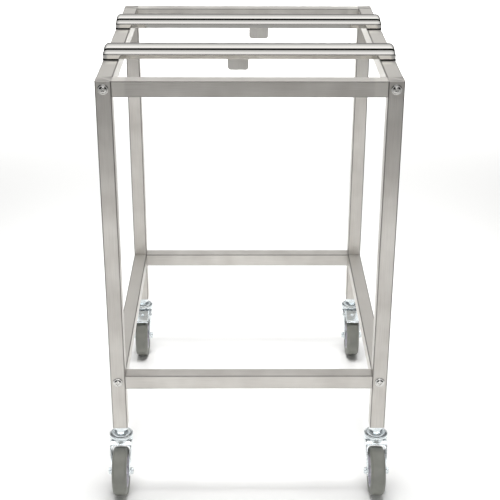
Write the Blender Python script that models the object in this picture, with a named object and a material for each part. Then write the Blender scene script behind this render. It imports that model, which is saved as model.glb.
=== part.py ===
"""Rolling equipment stand: a knock-down frame of square stainless tube with two profiled support bars
across its top and four swivel stem casters, the rear pair with brake pedals.

Metres, +Z up, +X to the right, the front faces -Y. The origin is on the floor, under the middle of the
stand's bounding box, with every caster trailing towards the front.
"""

from math import asin, cos, pi, radians, sin, sqrt

import bmesh
import bpy
from mathutils import Matrix, Vector

# Frame
WIDTH = 0.555
DEPTH = 0.610
FRAME_TOP = 0.870
LOWER_RAIL_TOP = 0.263
LEG_BOTTOM = 0.140
TUBE = 0.030
WALL = 0.0015
TUBE_CORNER = 0.0025
END_PLATE = 0.004
GAP = 0.0003

# Sides of a round piece: a bolt or hole, and a wheel or race
FINE = 12
WIDE = 20

# Frame screws, M6, each with its cup washer
SCREW_R = 0.003
SCREW_HOLE_R = 0.0034
SCREW_LENGTH = 0.042
SCREW_HEAD_R = 0.007
SCREW_HEAD_HEIGHT = 0.0052
CUP_WASHER_R = 0.010

# Support bars
BAR_DEPTH = 0.048
BAR_FACE = 0.0120
BAR_GROOVE_Y = 0.020
BAR_GROOVE_Z = 0.0152
BAR_REAR_Z = 0.0186
BAR_GROOVE_WIDTH = 0.0014
BAR_SHEET = 0.0015
BAR_END_ROUND = 0.006
FRONT_BAR_Y = -0.166
REAR_BAR_Y = 0.078
PAD_THICKNESS = 0.0027
PAD_PLUG_HEIGHT = 0.008
LUG_WIDTH = 0.040
LUG_THICKNESS = 0.002
LUG_DROP = 0.0275
LUG_CORNER = 0.006
LUG_OFFSET = 0.0215

# Casters
WHEEL_R = 0.050
WHEEL_HALF = 0.015
TRAIL = 0.035
HUB_R = 0.034
AXLE_R = 0.004
RACE_R = 0.024
RACE_TOP = 0.1241
RACE_BOTTOM = 0.1152
CROWN_R = 0.0235
CROWN_TOP = 0.1145
CROWN_PLATE = 0.111
WINDOW_TOP = 0.1035
KINGPIN_R = 0.006
STEM_R = 0.008
STEM_TOP = 0.176
STEM_HEX = 0.024
COLLAR_R = 0.0166
SOCKET_HEIGHT = 0.040
CHEEK = 0.0025
CHEEK_GAP_TOP = 0.0190
CHEEK_GAP_AXLE = 0.0160
AXLE_HALF = 0.0255
AXLE_HEX = 0.013

# Brake pedal, in the caster's own YZ plane: 0 is the stem's axis, -Y is the trailing side
PIVOT_Y = -0.030
PIVOT_Z = 0.105
PEDAL_HALF = 0.0175
PEDAL_SHEET = 0.002
TREADLE_SLOT = 0.0187
PIN_R = 0.0025

# The wheels trail further forward than the races reach to the rear
LEG_X = (WIDTH - TUBE) / 2
LEG_Y = (DEPTH - TUBE) / 2
CENTRE_Y = (TRAIL + WHEEL_R - RACE_R) / 2
BAR_BOTTOM = FRAME_TOP + GAP + PAD_THICKNESS + GAP

AXES = {"X": Vector((1, 0, 0)), "Y": Vector((0, 1, 0)), "Z": Vector((0, 0, 1))}
# Columns take a profile's two coordinates and its extrusion to X, Y and Z
PLANES = {
    "X": Matrix(((0, 0, 1), (1, 0, 0), (0, 1, 0))),
    "Y": Matrix(((1, 0, 0), (0, 0, 1), (0, 1, 0))),
    "Z": Matrix(((1, 0, 0), (0, 1, 0), (0, 0, 1))),
}
CORNERS = [
    ("front_left", -1, -1),
    ("front_right", 1, -1),
    ("rear_left", -1, 1),
    ("rear_right", 1, 1),
]


def clear_scene():
    for obj in list(bpy.data.objects):
        bpy.data.objects.remove(obj, do_unlink=True)


def finish_material(name, colour, roughness, metallic):
    material = bpy.data.materials.new(name)
    material.use_nodes = True
    shader = material.node_tree.nodes["Principled BSDF"]
    shader.inputs["Base Color"].default_value = (*colour, 1)
    shader.inputs["Roughness"].default_value = roughness
    shader.inputs["Metallic"].default_value = metallic
    return material


def make_object(name, bm, place, material, parent=None):
    """Turns a bmesh into an object at a place, with its normals facing out and its round faces smooth."""
    bmesh.ops.recalc_face_normals(bm, faces=bm.faces[:])
    mesh = bpy.data.meshes.new(name)
    bm.to_mesh(mesh)
    bm.free()
    mesh.shade_smooth()
    mesh.set_sharp_from_angle(angle=radians(32))
    obj = bpy.data.objects.new(name, mesh)
    bpy.context.collection.objects.link(obj)
    obj.location = place
    obj.parent = parent
    if material:
        mesh.materials.append(material)
    return obj


def make_cutter(name, bm, place, parent=None):
    cutter = make_object(name, bm, place, None, parent)
    cutter.hide_render = True
    cutter.display_type = "WIRE"
    return cutter


def combine(obj, other, operation):
    """Adds, cuts or keeps what is shared with another object, which stays as a hidden guide."""
    other.hide_render = True
    other.display_type = "WIRE"
    modifier = obj.modifiers.new(operation.title(), "BOOLEAN")
    modifier.operation = operation
    modifier.solver = "EXACT"
    modifier.object = other


def box(low, high):
    bm = bmesh.new()
    size = [b - a for a, b in zip(low, high)]
    middle = [(a + b) / 2 for a, b in zip(low, high)]
    bmesh.ops.create_cube(bm, size=1, matrix=Matrix.LocRotScale(middle, None, size))
    return bm


def long_box(low, high, axis, radius):
    """A box whose four edges along one axis are rounded."""
    bm = box(low, high)
    along = [e for e in bm.edges if abs((e.verts[0].co - e.verts[1].co).normalized().dot(AXES[axis])) > 0.9]
    bmesh.ops.bevel(bm, geom=along, offset=radius, segments=2, profile=0.5, affect="EDGES")
    return bm


def prism(outline, axis, start, end):
    """Extrudes a flat outline along one axis. The outline is (Y, Z), (X, Z) or (X, Y)."""
    bm = bmesh.new()
    turn = PLANES[axis]
    face = bm.faces.new([bm.verts.new(turn @ Vector((a, b, start))) for a, b in outline])
    pushed = bmesh.ops.extrude_face_region(bm, geom=[face])["geom"]
    moved = [v for v in pushed if isinstance(v, bmesh.types.BMVert)]
    bmesh.ops.translate(bm, verts=moved, vec=AXES[axis] * (end - start))
    return bm


def turned(profile, axis, segments):
    """Spins a closed profile of (radius, height) once around an axis. The flats lie at the radius."""
    bm = bmesh.new()
    reach = 1 / cos(pi / segments)
    outline = [Vector((r * reach, 0, h)) for r, h in profile]
    verts = [bm.verts.new(Matrix.Rotation(pi / segments, 3, "Z") @ point) for point in outline]
    edges = [bm.edges.new((a, b)) for a, b in zip(verts, verts[1:] + verts[:1])]
    bmesh.ops.spin(bm, geom=verts + edges, axis=(0, 0, 1), cent=(0, 0, 0), angle=2 * pi, steps=segments)
    bmesh.ops.remove_doubles(bm, verts=bm.verts[:], dist=1e-6)
    flat = [f for f in bm.faces if f.calc_area() < 1e-12]
    bmesh.ops.delete(bm, geom=flat, context="FACES")
    turn = {"X": Matrix.Rotation(pi / 2, 3, "Y"), "Y": Matrix.Rotation(-pi / 2, 3, "X"), "Z": Matrix.Identity(3)}
    bmesh.ops.transform(bm, matrix=turn[axis].to_4x4(), verts=bm.verts[:])
    return bm


def rod(radius, axis, start, end, segments=FINE):
    return turned([(0, start), (radius, start), (radius, end), (0, end)], axis, segments)


def hexagon(across_flats, axis, start, end):
    """A hexagonal prism about an axis, with two flats square to the outline's second direction."""
    radius = across_flats / sqrt(3)
    return prism([(radius * cos(i * pi / 3), radius * sin(i * pi / 3)) for i in range(6)], axis, start, end)


def arc(centre, radius, start, end, steps):
    """Points on a circle from one angle to another, in degrees."""
    angles = [radians(start + (end - start) * i / steps) for i in range(steps + 1)]
    return [(centre[0] + radius * cos(a), centre[1] + radius * sin(a)) for a in angles]


def bulge(start, end, height, steps):
    """Points from start to end on a circular arc that stands this high over the chord, to its left."""
    chord = Vector((end[0] - start[0], end[1] - start[1]))
    radius = (chord.length_squared / 4 + height * height) / (2 * height)
    half = asin(chord.length / 2 / radius)
    side = Vector((-chord.y, chord.x)).normalized()
    centre = Vector(start) + chord / 2 - side * (radius - height)
    first = Vector(start) - centre
    return [tuple(centre + Matrix.Rotation(-2 * half * i / steps, 2) @ first) for i in range(steps + 1)]


# Frame tubes -------------------------------------------------------------------------------------------


def screw_heights():
    return {"top": FRAME_TOP - TUBE / 2, "lower": LOWER_RAIL_TOP - TUBE / 2}


def add_leg(name, side_x, side_y, material):
    """Open at the foot for the caster's socket, welded shut and ground flush at the top."""
    half, bore = TUBE / 2, TUBE / 2 - WALL
    place = (side_x * LEG_X, CENTRE_Y + side_y * LEG_Y, 0)
    tube = long_box((-half, -half, LEG_BOTTOM), (half, half, FRAME_TOP), "Z", TUBE_CORNER)
    leg = make_object(name, tube, place, material)
    inside = long_box((-bore, -bore, LEG_BOTTOM - 0.01), (bore, bore, FRAME_TOP - WALL), "Z", TUBE_CORNER - WALL)
    combine(leg, make_cutter(name + "_bore", inside, place), "DIFFERENCE")
    for level, height in screw_heights().items():
        hole = rod(SCREW_HOLE_R, "Y", -TUBE, TUBE)
        at = (place[0], place[1], height)
        combine(leg, make_cutter(f"{name}_{level}_hole", hole, at), "DIFFERENCE")


def add_cross_rail(name, side_y, top, material):
    """A rail along X, welded between two legs."""
    half, bore = TUBE / 2, TUBE / 2 - WALL
    reach = WIDTH / 2 - TUBE - GAP
    place = (0, CENTRE_Y + side_y * LEG_Y, top - half)
    tube = long_box((-reach, -half, -half), (reach, half, half), "X", TUBE_CORNER)
    rail = make_object(name, tube, place, material)
    inside = long_box((-reach - 0.01, -bore, -bore), (reach + 0.01, bore, bore), "X", TUBE_CORNER - WALL)
    combine(rail, make_cutter(name + "_bore", inside, place), "DIFFERENCE")


def add_side_rail(name, side_x, top, material):
    """A rail along Y, closed by a tapped plate at each end that the frame screws pull against the legs."""
    half, bore = TUBE / 2, TUBE / 2 - WALL
    reach = DEPTH / 2 - TUBE - GAP
    place = (side_x * LEG_X, CENTRE_Y, top - half)
    tube = long_box((-half, -reach, -half), (half, reach, half), "Y", TUBE_CORNER)
    rail = make_object(name, tube, place, material)
    inner = reach - END_PLATE
    inside = long_box((-bore, -inner, -bore), (bore, inner, bore), "Y", TUBE_CORNER - WALL)
    combine(rail, make_cutter(name + "_bore", inside, place), "DIFFERENCE")
    holes = rod(SCREW_HOLE_R, "Y", -DEPTH, DEPTH)
    combine(rail, make_cutter(name + "_holes", holes, place), "DIFFERENCE")


def add_frame(material):
    for corner, side_x, side_y in CORNERS:
        add_leg(corner + "_leg", side_x, side_y, material)
    for level, top in (("top", FRAME_TOP), ("lower", LOWER_RAIL_TOP)):
        add_cross_rail(level + "_front_rail", -1, top, material)
        add_cross_rail(level + "_rear_rail", 1, top, material)
        add_side_rail(level + "_left_rail", -1, top, material)
        add_side_rail(level + "_right_rail", 1, top, material)


def add_frame_screws(material):
    """Pan head screws seated in cup washers, through the legs into the side rails' end plates."""
    profile = [(0, -SCREW_LENGTH), (SCREW_R, -SCREW_LENGTH), (SCREW_R, GAP), (CUP_WASHER_R, GAP)]
    profile += [(CUP_WASHER_R - 0.0004, 0.0014), (SCREW_HEAD_R, 0.0028), (SCREW_HEAD_R - 0.0008, 0.0044)]
    profile += [(SCREW_HEAD_R * 0.5, SCREW_HEAD_HEIGHT), (0, SCREW_HEAD_HEIGHT)]
    for corner, side_x, side_y in CORNERS:
        for level, height in screw_heights().items():
            screw = turned(profile, "Y", FINE)
            if side_y < 0:
                bmesh.ops.rotate(screw, verts=screw.verts[:], cent=(0, 0, 0), matrix=Matrix.Rotation(pi, 3, "Z"))
            place = (side_x * LEG_X, CENTRE_Y + side_y * DEPTH / 2, height)
            make_object(f"{corner}_{level}_screw", screw, place, material)


# Support bars ------------------------------------------------------------------------------------------


def bar_outline(inset=0.0, steps=6):
    """The bar's section over its bottom edge, as (Y, Z), from the front foot up and over to the rear foot."""
    low = (inset, BAR_FACE - inset)
    valley = BAR_GROOVE_Y - BAR_GROOVE_WIDTH / 2, BAR_GROOVE_Z - inset
    rise = BAR_GROOVE_Y + BAR_GROOVE_WIDTH / 2, BAR_GROOVE_Z - inset
    back = (BAR_DEPTH - inset, BAR_REAR_Z - inset)
    points = [(inset, 0)] + bulge(low, valley, 0.0012, steps)
    if not inset:
        points.append((BAR_GROOVE_Y, BAR_GROOVE_Z - 0.0012))
    points += bulge(rise, back, 0.0026, steps)
    return points + [(BAR_DEPTH - inset, 0)]


def bar_shell():
    """Sections of the bar along X, whose tops come down in a quarter round at both ends."""
    bm = bmesh.new()
    half = WIDTH / 2
    rounding = [radians(90 * i / 4) for i in range(5)]
    stations = [(half - BAR_END_ROUND * (1 - sin(a)), BAR_END_ROUND * (1 - cos(a))) for a in rounding]
    stations = [(-x, drop) for x, drop in stations[::-1]] + stations
    rings = []
    for x, drop in stations:
        heights = [(y, z if z == 0 else z - drop) for y, z in bar_outline()]
        rings.append([bm.verts.new((x, y, z)) for y, z in heights])
    for near, far in zip(rings, rings[1:]):
        count = len(near)
        for i in range(count):
            bm.faces.new((near[i], far[i], far[(i + 1) % count], near[(i + 1) % count]))
    bm.faces.new(rings[0])
    bm.faces.new(rings[-1])
    return bm


def add_bar(name, front_y, material):
    """A folded cover, open underneath, with closed and rounded ends."""
    place = (0, CENTRE_Y + front_y, BAR_BOTTOM)
    bar = make_object(name, bar_shell(), place, material)
    section = [(y, z if z else -0.01) for y, z in bar_outline(BAR_SHEET, 4)]
    reach = WIDTH / 2 - BAR_END_ROUND
    inside = prism(section, "X", -reach, reach)
    combine(bar, make_cutter(name + "_inside", inside, place), "DIFFERENCE")


def add_lug(name, front_y, offset, material):
    """A plate welded up inside the bar, halfway back, that hangs below it with rounded corners."""
    half = LUG_WIDTH / 2
    low = -LUG_DROP
    outline = arc((half - LUG_CORNER, low + LUG_CORNER), LUG_CORNER, -90, 0, 4)
    outline += [(half, BAR_FACE), (-half, BAR_FACE)]
    outline += arc((LUG_CORNER - half, low + LUG_CORNER), LUG_CORNER, 180, 270, 4)
    plate = prism(outline, "Y", -LUG_THICKNESS / 2, LUG_THICKNESS / 2)
    make_object(name, plate, (offset, CENTRE_Y + front_y + BAR_DEPTH / 2, BAR_BOTTOM), material)


def add_pad(name, front_y, side_x, material):
    """A rubber foot: a flange between the bar and the side rail, with a plug up inside the bar."""
    bottom = FRAME_TOP + GAP
    low = (-TUBE / 2, 0, 0)
    high = (TUBE / 2, BAR_DEPTH, PAD_THICKNESS)
    place = (side_x * LEG_X, CENTRE_Y + front_y, bottom)
    pad = make_object(name, box(low, high), place, material)
    edge = BAR_SHEET + GAP
    outer = TUBE / 2 - BAR_END_ROUND - GAP
    span = sorted((side_x * outer, -side_x * TUBE / 2))
    plug = box((span[0], edge, PAD_THICKNESS / 2), (span[1], BAR_DEPTH - edge, PAD_THICKNESS + PAD_PLUG_HEIGHT))
    combine(pad, make_cutter(name + "_plug", plug, place), "UNION")


def add_bars(polished, satin, rubber):
    for where, front_y, offset in (("front", FRONT_BAR_Y, -LUG_OFFSET), ("rear", REAR_BAR_Y, LUG_OFFSET)):
        add_bar(where + "_support_bar", front_y, polished)
        add_lug(where + "_bar_lug", front_y, offset, satin)
        add_pad(where + "_bar_left_pad", front_y, -1, rubber)
        add_pad(where + "_bar_right_pad", front_y, 1, rubber)


# Casters -----------------------------------------------------------------------------------------------


def add_socket(name, stand, material):
    """A block welded inside the leg's foot, bored and tapped for the caster's stem."""
    half = TUBE / 2 - WALL - GAP
    bottom = LEG_BOTTOM + GAP
    block = long_box((-half, -half, bottom), (half, half, bottom + SOCKET_HEIGHT), "Z", TUBE_CORNER - WALL)
    socket = make_object(name, block, (0, 0, 0), material, stand)
    bore = rod(STEM_R + GAP, "Z", LEG_BOTTOM - 0.01, bottom + SOCKET_HEIGHT + 0.01, 16)
    combine(socket, make_cutter(name + "_bore", bore, (0, 0, 0), stand), "DIFFERENCE")


def add_stem(name, stand, material):
    """Threaded stem, hexagon, collar and kingpin in one turned piece, riveted over under the fork's crown."""
    under = CROWN_PLATE - GAP
    profile = [(0, under - 0.0035), (0.008, under - 0.0035), (0.009, under)]
    profile += [(KINGPIN_R, under), (KINGPIN_R, RACE_TOP + GAP), (COLLAR_R, RACE_TOP + GAP)]
    profile += [(COLLAR_R, RACE_TOP + 0.0017), (STEM_R, RACE_TOP + 0.0026), (STEM_R, STEM_TOP), (0, STEM_TOP)]
    stem = make_object(name, turned(profile, "Z", 16), (0, 0, 0), material, stand)
    nut = hexagon(STEM_HEX, "Z", RACE_TOP + 0.0015, LEG_BOTTOM - GAP)
    combine(stem, make_cutter(name + "_hexagon", nut, (0, 0, 0), stand), "UNION")


def add_race(name, stand, material):
    """The upper ball race: a pressed dome that the stem's collar holds still against the leg."""
    bore = KINGPIN_R + GAP
    profile = [(bore, RACE_TOP), (0.0165, RACE_TOP), (0.0228, RACE_TOP - 0.0040), (RACE_R, RACE_TOP - 0.0053)]
    profile += [(RACE_R, RACE_BOTTOM), (bore, RACE_BOTTOM)]
    make_object(name, turned(profile, "Z", WIDE), (0, 0, 0), material, stand)


def fork_arch():
    """The fork seen from the front: an arch whose cheeks draw in towards the axle, with a round-cornered window."""
    bottom = WHEEL_R - 0.016
    slope = (CHEEK_GAP_TOP - CHEEK_GAP_AXLE) / (WINDOW_TOP - WHEEL_R)
    corner = 0.006
    inner_top = CHEEK_GAP_TOP - slope * corner
    inner_low = CHEEK_GAP_AXLE - slope * (WHEEL_R - bottom)
    right = [(inner_low, bottom), (inner_top, WINDOW_TOP - corner)]
    right += arc((inner_top - corner, WINDOW_TOP - corner), corner, 0, 90, 3)[1:]
    outer_top = CHEEK_GAP_TOP + CHEEK + 0.0005
    outside = [(outer_top - 0.003, 0.1125), (outer_top, 0.1095), (inner_low + CHEEK, bottom)]
    left = [(-x, z) for x, z in right]
    return left + right[::-1] + outside[::-1] + [(-x, z) for x, z in outside]


def fork_side(braked):
    """The fork seen from the side: the cheeks lean forward from the crown to a round boss at the axle."""
    boss = arc((-TRAIL, WHEEL_R), 0.0125, 200, 325, 5)
    rear = [(0.012, 0.085), (0.020, 0.104), (0.020, 0.1125)]
    front = [(-0.0205, 0.1125), (-0.0235, 0.104), (-0.034, 0.086)]
    if braked:
        front = [(-0.0205, 0.1125), (-0.034, 0.1105), (-0.0385, 0.106), (-0.0415, 0.092)]
    return boss + rear + front


def add_fork(name, swivel, braked, material):
    arch = prism(fork_arch(), "Y", -0.060, 0.040)
    fork = make_object(name, arch, (0, 0, 0), material, swivel)
    side = prism(fork_side(braked), "X", -0.040, 0.040)
    combine(fork, make_cutter(name + "_side", side, (0, 0, 0), swivel), "INTERSECT")
    crown = rod(CROWN_R, "Z", CROWN_PLATE - 0.001, CROWN_TOP, WIDE)
    combine(fork, make_cutter(name + "_crown", crown, (0, 0, 0), swivel), "UNION")
    pocket = rod(0.010, "Z", 0.090, CROWN_PLATE)
    combine(fork, make_cutter(name + "_pocket", pocket, (0, 0, 0), swivel), "DIFFERENCE")
    kingpin = rod(KINGPIN_R + GAP, "Z", 0.100, 0.130, 16)
    combine(fork, make_cutter(name + "_kingpin_hole", kingpin, (0, 0, 0), swivel), "DIFFERENCE")
    axle = rod(AXLE_R + GAP, "X", -0.030, 0.030)
    combine(fork, make_cutter(name + "_axle_hole", axle, (0, -TRAIL, WHEEL_R), swivel), "DIFFERENCE")
    if braked:
        slot = box((-TREADLE_SLOT, -0.060, 0.090), (TREADLE_SLOT, -CROWN_R, 0.120))
        combine(fork, make_cutter(name + "_treadle_slot", slot, (0, 0, 0), swivel), "DIFFERENCE")
        pin = rod(PIN_R + GAP, "X", -0.030, 0.030)
        combine(fork, make_cutter(name + "_pin_hole", pin, (0, PIVOT_Y, PIVOT_Z), swivel), "DIFFERENCE")


def add_axle(name, swivel, material):
    """Hexagon bolt through both cheeks and the hub, with its nut run up and both flanges against the cheeks."""
    place = (0, -TRAIL, WHEEL_R)
    seat = CHEEK_GAP_AXLE + CHEEK + 0.0009
    face = seat + 0.0013
    outer = face + 0.0044
    profile = [(0, -AXLE_HALF), (0.0045, -AXLE_HALF), (0.0056, 0.0002 - outer), (0.0056, -face), (0.0078, -face)]
    profile += [(0.0078, -seat), (AXLE_R, -seat), (AXLE_R, seat), (0.0078, seat), (0.0078, face), (AXLE_R, face)]
    profile += [(AXLE_R, AXLE_HALF - 0.0006), (AXLE_R - 0.0006, AXLE_HALF), (0, AXLE_HALF)]
    axle = make_object(name, turned(profile, "X", FINE), place, material, swivel)
    for part, start, end in (("head", -outer, 0.0002 - face), ("nut", face - 0.0002, outer)):
        nut = hexagon(AXLE_HEX, "X", start, end)
        combine(axle, make_cutter(f"{name}_{part}_hexagon", nut, place, swivel), "UNION")


def add_wheel(name, wheel, hub_material, tyre_material):
    """A moulded hub with dished faces, and a tyre moulded over its rim."""
    bore = AXLE_R + GAP
    half = [(bore, 0.0149), (0.0090, 0.0149), (0.0290, 0.0120), (HUB_R, 0.0136)]
    hub = half + [(r, -x) for r, x in half[::-1]]
    make_object(name + "_hub", turned(hub, "X", WIDE), (0, 0, 0), hub_material, wheel)
    half = [(HUB_R + GAP, 0.0142), (0.0430, WHEEL_HALF), (0.0480, 0.0125), (WHEEL_R, 0.0080)]
    tyre = half + [(r, -x) for r, x in half[::-1]]
    make_object(name + "_tyre", turned(tyre, "X", WIDE), (0, 0, 0), tyre_material, wheel)


def pedal_plate():
    """The treadle from the side: it slopes down over the tyre and turns down in a lip."""
    top, knee, lip = Vector((-0.0272, 0.1135)), Vector((-0.0590, 0.1025)), Vector((-0.0618, 0.0990))
    down = (knee - top).normalized()
    under = Vector((down.y, -down.x))
    if under.y > 0:
        under = -under
    tip = (lip - knee).normalized()
    inward = Vector((-tip.y, tip.x))
    if inward.x < 0:
        inward = -inward
    upper = [top, knee, lip]
    lower = [lip + inward * PEDAL_SHEET, knee + (under + inward) * PEDAL_SHEET * 0.62, top + under * PEDAL_SHEET]
    return [tuple(p) for p in upper + lower]


def add_pedal(name, pedal, material):
    """Treadle with two side flanges that turn on the pin, and a brake shoe under it."""
    place = (0, -PIVOT_Y, -PIVOT_Z)
    plate = prism(pedal_plate(), "X", -PEDAL_HALF, PEDAL_HALF)
    obj = make_object(name, plate, place, material, pedal)
    flange = [(-0.0272, 0.1125), (-0.0262, 0.1045), (-0.0300, 0.1008), (-0.0375, 0.1018), (-0.0560, 0.0995),
              (-0.0575, 0.1022)]
    for side, x in (("left", -PEDAL_HALF), ("right", PEDAL_HALF - PEDAL_SHEET)):
        cheek = prism(flange, "X", x, x + PEDAL_SHEET)
        combine(obj, make_cutter(f"{name}_{side}_flange", cheek, place, pedal), "UNION")
    shoe = [(-0.0390, 0.1085), (-0.0390, 0.1011), (-0.0520, 0.0986), (-0.0520, 0.1040)]
    block = prism(shoe, "X", -0.0100, 0.0100)
    combine(obj, make_cutter(name + "_shoe", block, place, pedal), "UNION")
    hole = rod(PIN_R + GAP, "X", -0.030, 0.030)
    combine(obj, make_cutter(name + "_pin_hole", hole, (0, 0, 0), pedal), "DIFFERENCE")
    mark = rod(0.0045, "Z", 0.090, 0.130)
    combine(obj, make_cutter(name + "_hole", mark, (0, place[1] - 0.0325, place[2]), pedal), "DIFFERENCE")


def add_pedal_pin(name, swivel, material):
    """Rivet through both cheeks that the pedal turns on."""
    slope = (CHEEK_GAP_TOP - CHEEK_GAP_AXLE) / (WINDOW_TOP - WHEEL_R)
    seat = CHEEK_GAP_AXLE + slope * (PIVOT_Z - WHEEL_R) + CHEEK + 0.0010
    end = seat + 0.0018
    half = [(PIN_R, seat), (0.0042, seat), (0.0036, end), (0, end)]
    profile = [(r, -x) for r, x in half[::-1]] + half
    make_object(name, turned(profile, "X", FINE), (0, PIVOT_Y, PIVOT_Z), material, swivel)


def add_empty(name, place, parent=None):
    empty = bpy.data.objects.new(name, None)
    empty.location = place
    empty.parent = parent
    bpy.context.collection.objects.link(empty)
    return empty


def add_caster(corner, side_x, side_y, finishes):
    zinc, plastic, rubber, steel = (finishes[key] for key in ("zinc", "hub", "tyre", "socket"))
    braked = side_y > 0
    stand = add_empty(corner + "_caster", (side_x * LEG_X, CENTRE_Y + side_y * LEG_Y, 0))
    add_socket(corner + "_leg_socket", stand, steel)
    add_stem(corner + "_caster_stem", stand, zinc)
    add_race(corner + "_upper_race", stand, zinc)
    swivel = add_empty(corner + "_swivel_axis", (0, 0, 0), stand)
    add_fork(corner + "_fork", swivel, braked, zinc)
    add_axle(corner + "_axle_bolt", swivel, zinc)
    wheel = add_empty(corner + "_wheel_axis", (0, -TRAIL, WHEEL_R), swivel)
    add_wheel(corner, wheel, plastic, rubber)
    if braked:
        add_pedal_pin(corner + "_pedal_pin", swivel, zinc)
        pedal = add_empty(corner + "_pedal_axis", (0, PIVOT_Y, PIVOT_Z), swivel)
        add_pedal(corner + "_brake_pedal", pedal, zinc)


def build():
    clear_scene()
    brushed = finish_material("brushed stainless", (0.62, 0.61, 0.58), 0.34, 1.0)
    polished = finish_material("polished stainless", (0.72, 0.72, 0.70), 0.06, 1.0)
    satin = finish_material("satin stainless", (0.66, 0.65, 0.63), 0.30, 1.0)
    screw = finish_material("bright screw steel", (0.75, 0.75, 0.74), 0.15, 1.0)
    rubber = finish_material("black rubber", (0.012, 0.012, 0.012), 0.60, 0.0)
    caster = {
        "zinc": finish_material("zinc plate", (0.72, 0.76, 0.78), 0.18, 1.0),
        "hub": finish_material("light grey hub plastic", (0.62, 0.60, 0.63), 0.45, 0.0),
        "tyre": finish_material("grey tyre rubber", (0.155, 0.155, 0.150), 0.55, 0.0),
        "socket": finish_material("mild steel socket", (0.45, 0.45, 0.45), 0.40, 1.0),
    }
    add_frame(brushed)
    add_frame_screws(screw)
    add_bars(polished, satin, rubber)
    for corner, side_x, side_y in CORNERS:
        add_caster(corner, side_x, side_y, caster)


build()
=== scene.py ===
"""The looks of a rolling equipment stand: a frame of brushed square tube, two polished support bars, and four
stem casters, the rear pair with brake pedals. Metres, +Z up, the front faces -Y."""

from math import cos, pi, radians, sin

import bmesh
import bpy
import numpy as np
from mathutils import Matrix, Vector


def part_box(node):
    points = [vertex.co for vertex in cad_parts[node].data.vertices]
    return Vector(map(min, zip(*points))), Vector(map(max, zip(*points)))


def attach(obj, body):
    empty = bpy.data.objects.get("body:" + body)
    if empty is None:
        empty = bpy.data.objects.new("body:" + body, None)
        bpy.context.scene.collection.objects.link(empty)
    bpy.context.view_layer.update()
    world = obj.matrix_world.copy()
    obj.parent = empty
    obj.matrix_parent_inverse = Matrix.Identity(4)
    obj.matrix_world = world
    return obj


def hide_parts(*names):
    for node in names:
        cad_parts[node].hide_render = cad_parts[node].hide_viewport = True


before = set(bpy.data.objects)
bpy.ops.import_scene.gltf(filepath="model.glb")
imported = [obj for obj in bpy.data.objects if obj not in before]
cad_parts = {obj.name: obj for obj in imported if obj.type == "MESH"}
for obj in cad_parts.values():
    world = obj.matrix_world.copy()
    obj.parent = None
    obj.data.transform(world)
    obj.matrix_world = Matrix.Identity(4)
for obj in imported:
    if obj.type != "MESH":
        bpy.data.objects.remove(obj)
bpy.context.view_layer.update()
MM = 0.001

# Frame tubes -------------------------------------------------------------------------------------------
# Legs and rails: 30 mm square tube of 304 stainless, 1.5 mm wall, roll-formed, so its corners are round,
# and belt-ground along its length. The cross rails are welded between the legs and their welds dressed.
# The side rails end in tapped plates, and the frame screws pull them up against the legs.
TUBE_WALL = 1.5 * MM
TUBE_CORNER = 2.8 * MM
CORNER_STEPS = 6
LEG_TOP_EASE = 0.7 * MM
END_PLATE = 4.0 * MM
RAIL_END_EASE = 1.0 * MM
SCREW_HOLE = 3.4 * MM
DRESSED_LENGTH = 26 * MM
DRESSED_FADE = 5 * MM
# How far the side rails are drawn paler: painted light.
SIDE_RAIL_PAINTED_LIGHT = 0.7
CROSS_RAIL_DRESSING = 0.6
CORNERS = ("front_left", "front_right", "rear_left", "rear_right")


def linear(colour):
    """An sRGB hex colour as linear RGBA: below 0.04045 a straight line, above it the 2.4 power curve."""
    srgb = np.array([int(colour[i:i + 2], 16) for i in (1, 3, 5)]) / 255
    curve = np.where(srgb <= 0.04045, srgb / 12.92, ((srgb + 0.055) / 1.055) ** 2.4)
    return (*curve.tolist(), 1.0)


def add_node(tree, kind, inputs=(), **settings):
    """One shader node, with its settings, and its sockets set to values or linked to other nodes' outputs."""
    node = tree.nodes.new(kind)
    for key, value in settings.items():
        setattr(node, key, value)
    for key, value in dict(inputs).items():
        if isinstance(value, bpy.types.NodeSocket):
            tree.links.new(value, node.inputs[key])
        else:
            node.inputs[key].default_value = value
    return node


def blend(tree, share, low, high):
    """The colour between low and high by a share. Each is a linear colour or another node's output."""
    return add_node(tree, "ShaderNodeMix", {0: share, 6: low, 7: high}, data_type="RGBA").outputs[2]


def new_material(name, **sockets):
    """A Principled material with its fixed sockets set. Returns it, its tree and its shader."""
    material = bpy.data.materials.new(name)
    material.use_nodes = True
    shader = material.node_tree.nodes["Principled BSDF"]
    for key, value in sockets.items():
        shader.inputs[key.replace("_", " ").title().replace("Ior", "IOR")].default_value = value
    return material, material.node_tree, shader


def connect(shader, **outputs):
    """Links nodes' outputs to the shader's sockets, which are named in small letters."""
    for key, output in outputs.items():
        shader.id_data.links.new(output, shader.inputs[key.replace("_", " ").title()])


def add_piece(name, points, faces, uv=None, crease=35, closed=True):
    """A mesh object of points and faces. A closed one has its faces turned outwards."""
    mesh = bpy.data.meshes.new(name)
    mesh.from_pydata(points, [], faces)
    if uv is not None:
        mesh.uv_layers.new(name="UVMap").data.foreach_set("uv", np.asarray(uv, np.float32).ravel())
    if closed:
        bm = bmesh.new()
        bm.from_mesh(mesh)
        bmesh.ops.recalc_face_normals(bm, faces=bm.faces[:])
        bm.to_mesh(mesh)
        bm.free()
    mesh.shade_smooth()
    mesh.set_sharp_from_angle(angle=radians(crease))
    piece = bpy.data.objects.new(name, mesh)
    bpy.context.scene.collection.objects.link(piece)
    return piece


def weigh_normals(piece):
    """Shades by face area, so that a flat beside a round edge stays flat."""
    piece.modifiers.new("Flats", "WEIGHTED_NORMAL").keep_sharp = True


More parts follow.
